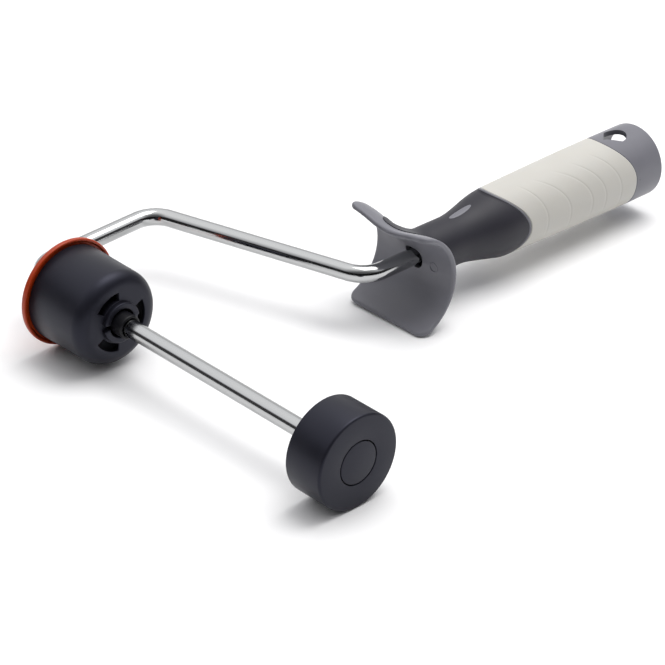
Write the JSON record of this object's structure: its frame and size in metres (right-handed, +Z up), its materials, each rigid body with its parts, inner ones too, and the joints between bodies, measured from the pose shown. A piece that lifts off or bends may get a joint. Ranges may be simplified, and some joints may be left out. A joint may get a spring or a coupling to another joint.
{
  "type": "paint roller frame",
  "caption": "Cage-less paint roller frame: a bent chromed rod, two free-spinning sleeve holders, and a moulded handle with a thumb guard, a hanging hole and a pole socket.",
  "frame": {"origin": "under the middle of the bounding box, on the level surface that the frame lies on", "axes": "+Y from the sleeve holders towards the end of the handle, +X from the stop flange towards the outer cap, +Z up"},
  "size_m": [0.21, 0.298, 0.0498],
  "materials": {
    "rod_chrome": "bright chrome plating",
    "holder_plastic": "satin charcoal moulding",
    "flange_plastic": "satin orange moulding",
    "bush_plastic": "satin black acetal",
    "washer_steel": "dark spring steel",
    "handle_plastic": "fine-grained grey moulding",
    "neck_rubber": "soft dark overmould",
    "grip_rubber": "soft ivory overmould"
  },
  "bodies": {
    "frame": {"frame_rod": "rod_chrome", "handle_core": "handle_plastic", "neck_overmould": "neck_rubber", "grip_sleeve": "grip_rubber", "pole_socket": "bush_plastic", "inner_bush": "bush_plastic", "inner_lock_washer": "washer_steel", "outer_bush": "bush_plastic", "outer_lock_washer": "washer_steel"},
    "inner_holder": {"inner_cup": "holder_plastic", "stop_flange": "flange_plastic"},
    "outer_holder": {"outer_cap": "holder_plastic", "cap_plug": "holder_plastic"}
  },
  "joints": [
    {"name": "inner_holder_spin", "type": "hinge", "parent": "frame", "child": "inner_holder", "pos_m": [-0.05828, -0.12457, 0.02407], "axis": [0.9998, 0, -0.0188], "continuous": true},
    {"name": "outer_holder_spin", "type": "hinge", "parent": "frame", "child": "outer_holder", "pos_m": [0.09499, -0.12457, 0.02119], "axis": [0.9998, 0, -0.0188], "continuous": true}
  ]
}
